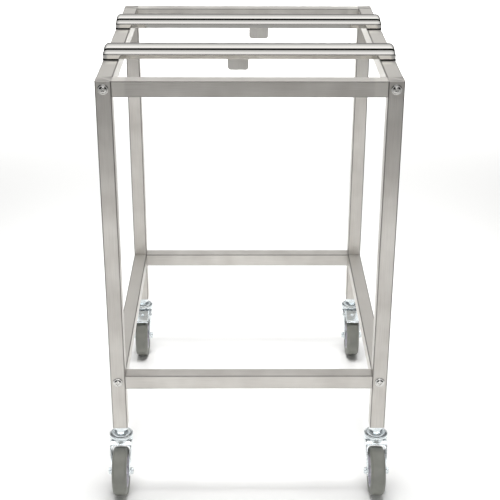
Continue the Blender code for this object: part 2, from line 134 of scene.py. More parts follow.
def skin(name, rings, closed=False, crease=35):
    """A closed surface over rings of points, an array of (ring, point, XYZ).

    Each ring joins the next. The last joins the first if closed; otherwise a flat face fills both ends.
    The UV map is in metres: U is the distance from the first ring, and V the distance round a ring."""
    rings = np.asarray(rings, float)
    count, around = rings.shape[:2]
    wrapped = np.concatenate([rings, rings[:1]])
    wrapped = np.concatenate([wrapped, wrapped[:, :1]], axis=1)
    u = np.cumsum(np.linalg.norm(np.diff(wrapped, axis=0, prepend=wrapped[:1]), axis=2), axis=0)
    v = np.cumsum(np.linalg.norm(np.diff(wrapped, axis=1, prepend=wrapped[:, :1]), axis=2), axis=1)
    i, j = np.mgrid[0:count if closed else count - 1, 0:around]
    corners = [(i, j), (i, j + 1), (i + 1, j + 1), (i + 1, j)]
    quads = np.stack([a % count * around + b % around for a, b in corners], -1).reshape(-1, 4)
    uv = np.stack([np.stack([u[a, b], v[a, b]], -1) for a, b in corners], 2).reshape(-1, 2)
    points, faces = rings.reshape(-1, 3), quads.tolist()
    if not closed:
        for face in (np.arange(around)[::-1], np.arange(around) + (count - 1) * around):
            faces.append(face.tolist())
            flat = np.argsort(np.ptp(points[face], axis=0))[1:]
            uv = np.vstack([uv, points[face][:, flat]])
    piece = add_piece(name, points, faces, uv, crease)
    weigh_normals(piece)
    return piece


def rounded_box(half_a, half_b, corner):
    """Points round a rectangle: quarter circles about its four corner centres, joined by the flats."""
    turn = np.linspace(0, pi / 2, CORNER_STEPS + 1)
    quarter = np.stack([np.cos(turn), np.sin(turn)], 1) * corner
    left = np.stack([-quarter[:, 1], quarter[:, 0]], 1)
    reach = np.array([half_a, half_b]) - corner
    return np.concatenate([quarter + reach, left + reach * (-1, 1), -quarter - reach,
                           -left + reach * (1, -1)])


def place(outline, distance, axis, centre=(0, 0, 0)):
    """An outline (a, b) pushed a distance d along an axis from a centre: the point is (a, b, d) for Z,
    (d, a, b) for X and (b, d, a) for Y."""
    points = np.column_stack([outline, np.broadcast_to(distance, len(outline))])
    return np.roll(points, {"X": 1, "Y": 2, "Z": 0}[axis], axis=1) + np.array(centre)


def fit(piece, material, body, slot, *nodes):
    """Gives a piece its finish and its body, and hides the CAD nodes that it stands for. The slot is not
    used.
    """
    piece.data.materials.append(material)
    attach(piece, body)
    if nodes:
        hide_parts(*nodes)
    return piece


def stainless_pattern(tree, shader, grain_step, grain_run, light, dark, rough, bump):
    """Grinding lines along U: noise stretched by the ratio of a line's run to its spacing, in metres.

    The lines tint the colour between dark and light, move the roughness between its two values, and raise
    the surface by bump metres. Slow clouds, 60 mm across, shade the rolled sheet a little."""
    uv = add_node(tree, "ShaderNodeUVMap", uv_map="UVMap")
    stretch = add_node(tree, "ShaderNodeMapping", {"Vector": uv.outputs[0],
                                                   "Scale": (1 / grain_run, 1 / grain_step, 1)})
    lines = add_node(tree, "ShaderNodeTexNoise", {"Vector": stretch.outputs[0], "Scale": 1.0, "Detail": 4.0})
    spot = add_node(tree, "ShaderNodeTexCoord")
    clouds = add_node(tree, "ShaderNodeTexNoise", {"Vector": spot.outputs["Object"],
                                                   "Scale": 16.0, "Detail": 2.0})
    both = add_node(tree, "ShaderNodeMath", {0: lines.outputs[0], 1: clouds.outputs[0]}, operation="ADD")
    tint = add_node(tree, "ShaderNodeMapRange", {"Value": both.outputs[0],
                                                 "From Min": 0.75, "From Max": 1.25})
    colour = blend(tree, tint.outputs[0], linear(dark), linear(light))
    gloss = add_node(tree, "ShaderNodeMapRange", {"Value": lines.outputs[0], "From Min": 0.3, "From Max": 0.7,
                                                  "To Min": rough[0], "To Max": rough[1]})
    relief = add_node(tree, "ShaderNodeBump", {"Height": lines.outputs[0], "Distance": bump, "Strength": 1.0})
    return colour, gloss.outputs[0], relief.outputs[0]


def brushed_stainless():
    """Belt-ground 304 tube: warm grey, soft long reflections, fine lines along the tube. The real lines are
    about 0.1 mm apart; they are drawn 0.9 mm apart so that they show. The rolled corners are painted dark:
    a painted dark reflection along each edge. Where a weld was dressed, the surface is matter and paler. The
    side rails are matter and paler all along, and that paler colour is painted light."""
    material, tree, shader = new_material("brushed_stainless", metallic=0.82, anisotropic=0.6,
                                          anisotropic_rotation=0.25)
    colour, gloss, relief = stainless_pattern(tree, shader, 0.9 * MM, 70 * MM, "#d2cfca", "#bebab5",
                                              (0.33, 0.42), 0.012 * MM)
    # Paler and matter where a weld was dressed; the side rails' paler colour is painted light.
    weld_and_painted_light = add_node(tree, "ShaderNodeAttribute", attribute_name="dressing_and_painted_light")
    paler = blend(tree, weld_and_painted_light.outputs["Fac"], colour, linear("#d9d6d0"))
    # Painted dark reflection: the rolled corners are drawn darker, up to 0.8 of the way to #6d6a66.
    corner = add_node(tree, "ShaderNodeAttribute", attribute_name="corner")
    painted_corner_share = add_node(tree, "ShaderNodeMath", {0: corner.outputs["Fac"], 1: 0.8}, operation="MULTIPLY")
    with_painted_dark_corners = blend(tree, painted_corner_share.outputs[0], paler, linear("#6d6a66"))
    matter = add_node(tree, "ShaderNodeMath", {0: weld_and_painted_light.outputs["Fac"], 1: 0.10, 2: gloss},
                      operation="MULTIPLY_ADD")
    along = add_node(tree, "ShaderNodeTangent", direction_type="UV_MAP", uv_map="UVMap")
    connect(shader, base_color=with_painted_dark_corners, roughness=matter.outputs[0], normal=relief, tangent=along.outputs[0])
    return material


def mark_painted_dark_corners(piece, rings):
    """Sets how far each point of the rings sits on a rolled corner, which is painted dark as a painted
    reflection: the sine of twice its turn there, which is 0 where the corner meets the flats and 1 at its
    middle."""
    quarter = np.sin(2 * np.linspace(0, pi / 2, CORNER_STEPS + 1))
    values = np.tile(np.tile(quarter, 4), len(rings)).astype(np.float32)
    piece.data.attributes.new("corner", "FLOAT", "POINT").data.foreach_set("value", values)


def mark_dressing_and_painted_light(piece, share):
    """Sets how far each point is drawn matter and paler, from 0 to 1, by a function of its X: where a weld
    was dressed by hand, and where the paler colour is painted light.
    """
    points = np.empty(len(piece.data.vertices) * 3, np.float32)
    piece.data.vertices.foreach_get("co", points)
    values = np.asarray(share(points[::3]), np.float32)
    piece.data.attributes.new("dressing_and_painted_light", "FLOAT", "POINT").data.foreach_set("value", values)


def tube_outlines(node, axis):
    """The tube's outer and inner outline, the middle of its box, and its ends along the axis."""
    low, high = (np.array(corner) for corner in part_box(node))
    k = "XYZ".index(axis)
    centre = (low + high) / 2
    centre[k] = 0
    half = (high - low)[k - 1] / 2
    outer = rounded_box(half, half, TUBE_CORNER)
    inner = rounded_box(half - TUBE_WALL, half - TUBE_WALL, TUBE_CORNER - TUBE_WALL)
    return outer, inner, centre, low[k], high[k]


def leg_tube(node):
    """Open at the foot for the socket; the top is closed, and its edge eased by a quarter circle."""
    outer, inner, centre, low, high = tube_outlines(node, "Z")
    half = outer[:, 0].max()
    rings = [place(inner, high - TUBE_WALL, "Z", centre), place(inner, low, "Z", centre)]
    rings.append(place(outer, low, "Z", centre))
    for turn in np.linspace(0, pi / 2, 5):
        draw_in = LEG_TOP_EASE * (1 - cos(turn))
        outline = rounded_box(half - draw_in, half - draw_in, TUBE_CORNER - draw_in / 2)
        rings.append(place(outline, high - LEG_TOP_EASE * (1 - sin(turn)), "Z", centre))
    leg = skin(node + "_tube", rings)
    mark_painted_dark_corners(leg, rings)
    return leg


def cross_rail_tube(node):
    """A plain tube from leg to leg, with extra rings where the dressing of its welds fades."""
    outer, inner, centre, low, high = tube_outlines(node, "X")
    bounds = (low, low + DRESSED_LENGTH - DRESSED_FADE, low + DRESSED_LENGTH)
    stations = [*bounds, *(high + low - x for x in bounds[::-1])]
    rings = [place(outer, x, "X", centre) for x in stations]
    rings += [place(inner, x, "X", centre) for x in (high, low)]
    rail = skin(node + "_tube", rings, closed=True)
    mark_painted_dark_corners(rail, rings)
    if node.startswith("top"):
        mark_dressing_and_painted_light(rail, lambda x: np.clip((DRESSED_LENGTH - np.minimum(x - low, high - x)) / DRESSED_FADE,
                                             0, CROSS_RAIL_DRESSING))
    return rail


def side_rail_tube(node):
    """Closed at both ends by a plate with a screw hole; the plates' inner faces close the hollow."""
    outer, inner, centre, low, high = tube_outlines(node, "Y")
    hole = outer / np.linalg.norm(outer, axis=1, keepdims=True) * SCREW_HOLE
    half = outer[:, 0].max() - RAIL_END_EASE
    eased = rounded_box(half, half, TUBE_CORNER - RAIL_END_EASE / 2)
    stations = [(hole, low), (eased, low), (outer, low + RAIL_END_EASE), (outer, high - RAIL_END_EASE),
                (eased, high), (hole, high), (hole, high - END_PLATE),
                (inner, high - END_PLATE), (inner, low + END_PLATE), (hole, low + END_PLATE)]
    rail = skin(node + "_tube", [place(outline, y, "Y", centre) for outline, y in stations], closed=True)
    mark_painted_dark_corners(rail, stations)
    # Painted light: the whole rail is drawn paler and matter, for the brighter reflection along its top.
    mark_dressing_and_painted_light(rail, lambda x: np.full(len(x), SIDE_RAIL_PAINTED_LIGHT))
    return rail


brushed = brushed_stainless()
for corner in CORNERS:
    fit(leg_tube(corner + "_leg"), brushed, "root", "brushed_stainless", corner + "_leg")
for level in ("top", "lower"):
    for side in ("front", "rear"):
        node = f"{level}_{side}_rail"
        fit(cross_rail_tube(node), brushed, "root", "brushed_stainless", node)
    for side in ("left", "right"):
        node = f"{level}_{side}_rail"
        fit(side_rail_tube(node), brushed, "root", "brushed_stainless", node)

# Frame screws ------------------------------------------------------------------------------------------
# M6 pan heads with a cross recess, cold-headed in stainless and left bright, each seated in a pressed cup
# washer. One at each end of each side rail, through the leg.
SCREW_HEAD_R = 7.0 * MM
SCREW_SHANK_R = 3.0 * MM
SCREW_SEAT = 2.1 * MM
SCREW_TOP = 5.2 * MM
SCREW_CROWN = 0.9 * MM
SCREW_SHOULDER = 1.5 * MM
SCREW_UNDERSIDE = 1.2 * MM
SCREW_LENGTH = 42 * MM
RECESS_ARM = 0.95 * MM
RECESS_REACH = 3.6 * MM
RECESS_DEPTH = 1.9 * MM
RECESS_WALL = 0.45 * MM
WASHER_R = 10.0 * MM
WASHER_FOOT = 0.4 * MM
WASHER_RIM = 1.5 * MM
WASHER_BORE = 3.6 * MM
GOLDEN_TURN = radians(137.5)


def circle(radius, count=96):
    """Points round a circle, anticlockwise."""
    turn = np.arange(count) * 2 * pi / count
    return np.stack([np.cos(turn), np.sin(turn)], 1) * radius


def turned(name, profile, axis, centre, closed=False, count=96, crease=35):
    """A profile of (radius, distance along the axis) turned round an axis through the centre."""
    rings = [place(circle(radius, count), distance, axis, centre) for radius, distance in profile]
    return skin(name, rings, closed, crease)


def head_height(x, y, turn):
    """A pan head's top over its seat: a dome that falls as the square of the radius and, towards its edge, as
    the sixth power, less a cross whose walls slope. The distance to the cross is the lesser of the distances
    to its two arms."""
    radius = np.hypot(x, y) / SCREW_HEAD_R
    a = np.abs(x * cos(turn) + y * sin(turn))
    b = np.abs(y * cos(turn) - x * sin(turn))
    arms = np.minimum(np.maximum(a - RECESS_ARM, b - RECESS_REACH),
                      np.maximum(b - RECESS_ARM, a - RECESS_REACH))
    recess = RECESS_DEPTH * np.clip(0.5 - arms / RECESS_WALL, 0, 1) * (1 - 0.5 * radius)
    return SCREW_TOP - SCREW_CROWN * radius ** 2 - SCREW_SHOULDER * radius ** 6 - recess


def screw(name, centre, outward, turn):
    """Rings from the middle of the head outwards, round its edge, under it and down the shank."""
    rings = []
    for radius in np.linspace(0.15 * MM, SCREW_HEAD_R, 44):
        outline = circle(radius)
        height = head_height(outline[:, 0], outline[:, 1], turn)
        rings.append(place(outline, outward * height, "Y", centre))
    for radius, height in ((SCREW_HEAD_R, SCREW_SEAT), (SCREW_SHANK_R, SCREW_UNDERSIDE),
                           (SCREW_SHANK_R, MM - SCREW_LENGTH), (SCREW_SHANK_R - 0.8 * MM, -SCREW_LENGTH)):
        rings.append(place(circle(radius), outward * height, "Y", centre))
    return skin(name, rings, crease=28)


def cup_washer(name, centre, outward):
    """A pressed ring: a rolled outer rim, a hump, and a cone that falls in to the screw's seat."""
    hump = [(WASHER_R - WASHER_RIM + WASHER_RIM * cos(turn), WASHER_FOOT + WASHER_RIM * sin(turn))
            for turn in np.linspace(0, pi / 2, 7)]
    top = hump + [(7.6 * MM, 2.05 * MM), (6.6 * MM, 1.75 * MM), (WASHER_BORE, 1.1 * MM)]
    bottom = [(WASHER_BORE, 0.5 * MM), (6.6 * MM, 0.9 * MM), (WASHER_R - 0.9 * MM, WASHER_FOOT)]
    profile = [(radius, outward * height) for radius, height in top + bottom]
    return turned(name, profile, "Y", centre, closed=True)


def bright_screw_steel():
    """Cold-headed stainless, tumbled bright: near mirror, with the faint turned lines of the tumbling."""
    material, tree, shader = new_material("bright_screw_steel", metallic=1.0, base_color=linear("#d8d7d4"))
    spot = add_node(tree, "ShaderNodeTexCoord")
    marks = add_node(tree, "ShaderNodeTexNoise", {"Vector": spot.outputs["Object"],
                                                  "Scale": 900.0, "Detail": 3.0})
    gloss = add_node(tree, "ShaderNodeMapRange", {"Value": marks.outputs[0], "To Min": 0.06, "To Max": 0.22})
    relief = add_node(tree, "ShaderNodeBump", {"Height": marks.outputs[0], "Distance": 0.01 * MM})
    connect(shader, roughness=gloss.outputs[0], normal=relief.outputs[0])
    return material


screw_steel = bright_screw_steel()
screw_nodes = sorted(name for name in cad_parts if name.endswith("_screw"))
for number, node in enumerate(screw_nodes):
    low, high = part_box(node)
    outward = 1 if node.startswith("rear") else -1
    face = (high.y if outward > 0 else low.y) - outward * SCREW_TOP
    centre = ((low.x + high.x) / 2, face, (low.z + high.z) / 2)
    fit(screw(node + "_m6", centre, outward, number * GOLDEN_TURN), screw_steel, "root", "screw_steel", node)
    washer = cup_washer(node.replace("screw", "cup_washer"), centre, outward)
    fit(washer, screw_steel, "root", "screw_steel", node)

# Support bars ------------------------------------------------------------------------------------------
# Roll-formed covers of 1.5 mm stainless with two crowned lobes and a fold between them, closed at both
# ends, ground smooth there and mirror-polished all over. They lie across the side rails on rubber pads.
BAR_SHEET = 1.5 * MM
BAR_END_X = 9.0 * MM
BAR_END_Y = 6.5 * MM
BAR_END_Z = 7.5 * MM
BAR_STEP = 0.25 * MM
BAR_SOFTEN = 5


def arc(centre, radius, start, end, steps=12):
    """Points on a circle from one angle to another, in degrees."""
    turn = np.radians(np.linspace(start, end, steps))
    return np.stack([centre[0] + radius * np.cos(turn), centre[1] + radius * np.sin(turn)], 1)


def crown(start, end, height, steps=24):
    """Points from start to end on a parabola that stands this high over the middle of the chord."""
    share = np.linspace(0, 1, steps)[:, None]
    start, end = np.array(start), np.array(end)
    chord = end - start
    side = np.array([-chord[1], chord[0]]) / np.hypot(*chord)
    return start + chord * share + side * (4 * height * share * (1 - share))


def bar_section():
    """The bar's outer outline as (Y, Z) over its foot, in metres, from the front foot to the rear one: front
    face, round edge, front lobe, fold, rear lobe, round edge and rear face. It is walked in even steps and
    each point is averaged with its neighbours, which rounds what corners are left."""
    front_lobe = [arc((2.3, 7.3), 2.3, 180, 108), crown((2.6, 9.7), (18.8, 13.0), 0.8)]
    fold = [arc((18.8, 12.4), 0.6, 70, 10, 6), [(19.6, 9.4), (20.8, 9.4)],
            arc((21.7, 14.2), 0.9, 180, 112, 8)]
    rear_lobe = [crown((21.8, 15.1), (45.0, 19.5), 1.7), arc((45.3, 16.8), 2.7, 78, 0)]
    parts = [[(0, 0)], *front_lobe, *fold, *rear_lobe, [(48, 0)]]
    corners = np.concatenate(parts) * MM
    length = np.concatenate([[0], np.cumsum(np.linalg.norm(np.diff(corners, axis=0), axis=1))])
    walk = np.linspace(0, length[-1], int(length[-1] / BAR_STEP))
    even = np.stack([np.interp(walk, length, corners[:, k]) for k in (0, 1)], 1)
    window = np.ones(BAR_SOFTEN) / BAR_SOFTEN
    edge = BAR_SOFTEN // 2
    soft = even.copy()
    for k in (0, 1):
        soft[edge:-edge, k] = np.convolve(even[:, k], window, "valid")
    return soft


def painted_dark_share(section):
    """How dark each point of the section is drawn: 1 in the fold, as painted shade, less round the rear edge
    and the front edge, as painted dark reflections, and 0 on the lobes and the faces. Each fades out over
    about a millimetre."""
    y, z = section.T / MM
    fold = np.clip((1.9 - np.abs(y - 20.3)) / 0.5, 0, 1)
    rear_edge = 0.7 * np.clip(y - 45.6, 0, 1) * (z > 16.5)
    front_edge = 0.35 * np.clip((2.4 - y) / 0.8, 0, 1) * (z > 7.0)
    return np.maximum.reduce([fold, rear_edge, front_edge])


def sheet(name, grid, thickness, caps=False, crease=35):
    """An open grid of points (i, j, XYZ), whose outside is the side that the cross product of i and j points
    to, given a wall inwards. Caps fill its first and last row."""
    rows, columns = grid.shape[:2]
    i, j = np.mgrid[0:rows - 1, 0:columns - 1]
    corners = [(i, j), (i + 1, j), (i + 1, j + 1), (i, j + 1)]
    faces = np.stack([a * columns + b for a, b in corners], -1).reshape(-1, 4).tolist()
    uv = np.stack([np.stack([a / rows, b / columns], -1) for a, b in corners], 2).reshape(-1, 2)
    if caps:
        ends = [np.arange(columns), np.arange(columns)[::-1] + (rows - 1) * columns]
        faces += [end.tolist() for end in ends]
        uv = np.vstack([uv, np.zeros((2 * columns, 2))])
    piece = add_piece(name, grid.reshape(-1, 3), faces, uv, crease, closed=False)
    wall = piece.modifiers.new("Wall", "SOLIDIFY")
    wall.thickness = thickness
    wall.offset = -1
    return piece


def support_bar(name, low, high):
    """The section carried along X. At both ends it shrinks as a quarter circle does, in depth about its
    middle and in height towards its foot, so that the closed ends are round both ways."""
    section = bar_section()
    middle = np.array([section[:, 0].max() / 2, 0])
    turn = np.linspace(0, pi / 2, 12)
    half = (high.x - low.x) / 2
    x = half - BAR_END_X * (1 - np.sin(turn))
    shrink = 1 - np.cos(turn)
    x = np.concatenate([-x[::-1], np.linspace(-x[0], x[0], 9)[1:-1], x])
    shrink = np.concatenate([shrink[::-1], np.zeros(7), shrink])
    size = (section.max(0) - section.min(0))
    rows = []
    for place_x, share in zip(x, shrink):
        scale = 1 - share * np.array([2 * BAR_END_Y / size[0], BAR_END_Z / size[1]])
        yz = (section - middle) * scale + middle
        rows.append(np.column_stack([np.full(len(yz), place_x + (low.x + high.x) / 2), yz[:, 0] + low.y,
                                     yz[:, 1] + low.z]))
    bar = sheet(name, np.array(rows), BAR_SHEET, caps=True, crease=60)
    # Painted shade in the fold and painted dark reflections at the edges: how dark each point is drawn.
    painted_dark_shares = np.tile(painted_dark_share(section), len(rows)).astype(np.float32)
    bar.data.attributes.new("painted_shade_and_reflection", "FLOAT", "POINT").data.foreach_set("value", painted_dark_shares)
    return bar


def polished_stainless():
    """Mirror-polished 304: clear reflections, a trace of haze, and the long waves that rolling leaves. The
    fold is drawn dark as painted shade, and the tight bends at the front and rear edges as painted dark
    reflections."""
    material, tree, shader = new_material("polished_stainless", metallic=1.0)
    painted_shade_and_reflection = add_node(tree, "ShaderNodeAttribute", attribute_name="painted_shade_and_reflection")
    # Painted shade and painted dark reflections, drawn towards #2b2a28.
    colour = blend(tree, painted_shade_and_reflection.outputs["Fac"], linear("#dcdad6"), linear("#2b2a28"))
    connect(shader, base_color=colour)
    spot = add_node(tree, "ShaderNodeTexCoord")
    stretch = add_node(tree, "ShaderNodeMapping", {"Vector": spot.outputs["Object"], "Scale": (9, 260, 260)})
    haze = add_node(tree, "ShaderNodeTexNoise", {"Vector": stretch.outputs[0], "Scale": 1.0, "Detail": 2.0})
    gloss = add_node(tree, "ShaderNodeMapRange", {"Value": haze.outputs[0], "To Min": 0.03, "To Max": 0.10})
    waves = add_node(tree, "ShaderNodeTexNoise", {"Vector": spot.outputs["Object"],
                                                  "Scale": 9.0, "Detail": 0.0})
    relief = add_node(tree, "ShaderNodeBump", {"Height": waves.outputs[0], "Distance": 0.35 * MM})
    connect(shader, roughness=gloss.outputs[0], normal=relief.outputs[0])
    return material


polished = polished_stainless()
for side in ("front", "rear"):
    node = side + "_support_bar"
    fit(support_bar(node + "_cover", *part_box(node)), polished, "root", "polished_stainless", node)

# Lugs --------------------------------------------------------------------------------------------------
# A tab of 2 mm stainless spot-welded up inside each bar, halfway back, hanging below it to locate what the
# stand carries. Laser-cut, with deburred edges, and ground on both faces.
LUG_CORNER = 6.0 * MM
LUG_EASE = 0.45 * MM


def lug(name, low, high):
    """A rounded plate whose two faces are drawn in by a quarter circle at the edge."""
    middle = ((low.x + high.x) / 2, 0, (low.z + high.z) / 2)
    half_x, half_z = (high.x - low.x) / 2, (high.z - low.z) / 2
    rings = []
    for turn in np.linspace(0, pi, 9):
        draw_in = LUG_EASE * (1 - sin(turn))
        y = low.y + LUG_EASE * (1 - cos(turn)) if turn < pi / 2 else high.y - LUG_EASE * (1 + cos(turn))
        outline = rounded_box(half_z - draw_in, half_x - draw_in, LUG_CORNER - draw_in)
        rings.append(place(outline, y, "Y", middle))
    return skin(name, rings)


def satin_stainless():
    """Sheet with a satin ground face: soft reflections, and short crosswise lines drawn 0.8 mm apart."""
    material, tree, shader = new_material("satin_stainless", metallic=0.7)
    colour, gloss, relief = stainless_pattern(tree, shader, 0.8 * MM, 30 * MM, "#dcdad6", "#cfccc7",
                                              (0.30, 0.40), 0.01 * MM)
    connect(shader, base_color=colour, roughness=gloss, normal=relief)
    return material


satin = satin_stainless()
for side in ("front", "rear"):
    node = side + "_bar_lug"
    fit(lug(node + "_plate", *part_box(node)), satin, "root", "satin_stainless", node)

# Pads --------------------------------------------------------------------------------------------------
# Moulded black rubber: a flange under each end of each bar, as wide as the side rail, with a plug that
# grips inside the bar. It keeps the polished bar off the rail.
PAD_FLANGE = 2.7 * MM
PAD_EASE = 0.5 * MM
PAD_CORNER = 1.5 * MM
PAD_PLUG_INSET = 2.0 * MM
PAD_PLUG_SHORTER = 7 * MM
PAD_PLUG_SHIFT = 5 * MM


def pad(name, low, high):
    """Rings up the flange, in over its top to the plug, and up the plug."""
    half_x, half_y = (high.x - low.x) / 2, (high.y - low.y) / 2
    middle = ((low.x + high.x) / 2, (low.y + high.y) / 2, low.z)
    inward = -1 if middle[0] > 0 else 1
    rings = []
    for draw_in, height in ((PAD_EASE, 0), (0, PAD_EASE), (0, PAD_FLANGE - PAD_EASE), (PAD_EASE, PAD_FLANGE)):
        rings.append(place(rounded_box(half_x - draw_in, half_y - draw_in, PAD_CORNER), height, "Z", middle))
    plug = rounded_box(half_x - PAD_PLUG_SHORTER, half_y - PAD_PLUG_INSET, PAD_CORNER)
    plug = plug + (inward * PAD_PLUG_SHIFT, 0)
    for height in (PAD_FLANGE, high.z - low.z):
        rings.append(place(plug, height, "Z", middle))
    return skin(name, rings)


def black_rubber():
    """Moulded rubber: nearly black, dull, with a fine matt texture from the mould, drawn at 0.8 mm."""
    material, tree, shader = new_material("black_rubber", ior=1.5)
    spot = add_node(tree, "ShaderNodeTexCoord")
    grain = add_node(tree, "ShaderNodeTexNoise", {"Vector": spot.outputs["Object"],
                                                  "Scale": 1250.0, "Detail": 3.0})
    colour = blend(tree, grain.outputs[0], linear("#0d0d0d"), linear("#1c1c1b"))
    gloss = add_node(tree, "ShaderNodeMapRange", {"Value": grain.outputs[0], "To Min": 0.5, "To Max": 0.75})
    relief = add_node(tree, "ShaderNodeBump", {"Height": grain.outputs[0], "Distance": 0.05 * MM})
    connect(shader, base_color=colour, roughness=gloss.outputs[0], normal=relief.outputs[0])
    return material


pad_rubber = black_rubber()
for node in sorted(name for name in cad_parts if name.endswith("_pad")):
    fit(pad(node + "_rubber", *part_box(node)), pad_rubber, "root", "pad_rubber", node)

# Caster stems and races --------------------------------------------------------------------------------
# The stem, its hexagon, its collar and the kingpin are one turned piece of steel; the upper race is a
# pressed dome that the collar clamps. Both are zinc-plated and blue-passivated.
STEM_HEX = 24.0 * MM
STEM_HEX_CORNER = 13.2 * MM
HEX_LIMIT = STEM_HEX_CORNER + 0.7 * MM
COLLAR_R = 16.6 * MM
COLLAR_EDGE = 0.8 * MM
COLLAR_Z = 124.5 * MM
HEX_TOP_Z = 139.6 * MM
STEM_R = 8 * MM
RACE_BORE = 6.3 * MM


def zinc_plate():
    """Bright zinc with a blue passivate: cold and pale, half glossy, with cloudy patches some 8 mm across."""
    material, tree, shader = new_material("blue_zinc_plate", metallic=0.8)
    spot = add_node(tree, "ShaderNodeTexCoord")
    patches = add_node(tree, "ShaderNodeTexNoise", {"Vector": spot.outputs["Object"],
                                                    "Scale": 120.0, "Detail": 4.0})
    colour = blend(tree, patches.outputs[0], linear("#dce6ea"), linear("#f1f5f7"))
    gloss = add_node(tree, "ShaderNodeMapRange", {"Value": patches.outputs[0],
                                                  "To Min": 0.12, "To Max": 0.26})
    relief = add_node(tree, "ShaderNodeBump", {"Height": patches.outputs[0], "Distance": 0.02 * MM})
    connect(shader, base_color=colour, roughness=gloss.outputs[0], normal=relief.outputs[0])
    return material


def hexagon(across, limit, turn=0.0, count=96):
    """Points round a hexagon: half the width over the cosine of the angle from the nearest flat's middle,
    and no further out than the limit, which is the cone that chamfers a nut's corners."""
    angle = np.arange(count) * 2 * pi / count
    off_flat = (angle - turn + pi / 6) % (pi / 3) - pi / 6
    radius = np.minimum(across / 2 / np.cos(off_flat), limit)
    return np.stack([np.cos(angle), np.sin(angle)], 1) * radius[:, None]


def caster_stem(name, x, y, top):
    """Rings up the kingpin's rivet, the kingpin, the collar, the hexagon, its chamfer, and the stem."""
    base = (x, y, 0)
    round_part = [(7.2, 107.3), (8.2, 108.3), (8.6, 110.6), (6.0, 110.6)]
    rings = [place(circle(r * MM), z * MM, "Z", base) for r, z in round_part]
    rings.append(place(circle(6 * MM), COLLAR_Z, "Z", base))
    for turn in np.linspace(-pi / 2, pi / 2, 7):
        radius = COLLAR_R - COLLAR_EDGE * (1 - cos(turn))
        rings.append(place(circle(radius), COLLAR_Z + COLLAR_EDGE * (1 + sin(turn)), "Z", base))
    for limit, z in ((STEM_HEX_CORNER, COLLAR_Z + 1.7 * MM), (HEX_LIMIT, COLLAR_Z + 2.6 * MM),
                     (HEX_LIMIT, HEX_TOP_Z - 1.0 * MM), (STEM_HEX / 2 + 0.1 * MM, HEX_TOP_Z)):
        rings.append(place(hexagon(STEM_HEX, limit, pi / 2), z, "Z", base))
    for radius, z in ((STEM_R, HEX_TOP_Z), (STEM_R, top - 1.2 * MM), (6.8 * MM, top)):
        rings.append(place(circle(radius), z, "Z", base))
    return skin(name, rings, crease=25)


def race_profile(top, bottom):
    """From the bore out over a seat, a falling dome, a shallow ring groove and a rolled rim, and back."""
    dome = crown((16.6, 0.0), (22.0, -3.3), 0.75, 9)
    rim = arc((22.9, -5.0), 1.1, 90, 0, 5)
    outside = [(r * MM, top + h * MM) for r, h in np.concatenate([dome, rim])]
    back = [(24.0 * MM, bottom + 0.6 * MM), (23.5 * MM, bottom), (RACE_BORE, bottom)]
    return [(RACE_BORE, top)] + outside + back


zinc = zinc_plate()
for corner in CORNERS:
    low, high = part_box(corner + "_caster_stem")
    x, y = (low.x + high.x) / 2, (low.y + high.y) / 2
    stem = caster_stem(corner + "_stem_and_hexagon", x, y, high.z)
    fit(stem, zinc, "root", "zinc_plate", corner + "_caster_stem")
    low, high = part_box(corner + "_upper_race")
    race = turned(corner + "_race_dome", race_profile(high.z, low.z), "Z", (x, y, 0), closed=True)
    fit(race, zinc, "root", "zinc_plate", corner + "_upper_race")

# Leg sockets -------------------------------------------------------------------------------------------
# A block of bored and tapped mild steel in the foot of each leg. Only its underside shows, so the CAD
# solid stays, with a machined finish.


def machined_steel():
    """Sawn and milled mild steel: grey, half dull, with close tool marks drawn 0.7 mm apart."""
    material, tree, shader = new_material("machined_steel", metallic=1.0, base_color=linear("#9c9c9b"))
    spot = add_node(tree, "ShaderNodeTexCoord")
    marks = add_node(tree, "ShaderNodeTexWave", {"Vector": spot.outputs["Object"],
                                                 "Scale": 220.0, "Distortion": 1.5})
    gloss = add_node(tree, "ShaderNodeMapRange", {"Value": marks.outputs["Fac"],
                                                  "To Min": 0.32, "To Max": 0.5})
    relief = add_node(tree, "ShaderNodeBump", {"Height": marks.outputs["Fac"], "Distance": 0.02 * MM})
    connect(shader, roughness=gloss.outputs[0], normal=relief.outputs[0])
    return material


socket_steel = machined_steel()
for corner in CORNERS:
    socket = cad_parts[corner + "_leg_socket"]
    socket.data.materials.clear()
    socket.data.materials.append(socket_steel)

# Forks -------------------------------------------------------------------------------------------------
# Deep-drawn from 2.5 mm steel in one stroke and zinc-plated: a crown over the balls, with a bead rolled into
# its skirt, and two cheeks that lean forward to the axle, joined in front over a round-cornered window. The
# rear forks carry the pedal's pin. The crown's outlines are (radius, height over the floor) in mm.
FORK_EASE = 0.8 * MM
CROWN_OUTSIDE = [(7.0, 114.2), (19.8, 114.2), (21.6, 113.8), (22.9, 112.9), (23.5, 111.6), (23.5, 109.2),
                 (23.1, 108.2), (22.5, 107.7), (22.4, 107.2), (22.9, 106.7), (23.4, 105.8), (23.5, 103.6),
                 (23.2, 103.0)]
CROWN_INSIDE = [(22.2, 103.0), (22.0, 106.8), (21.2, 107.2), (21.2, 112.0), (7.0, 112.0)]


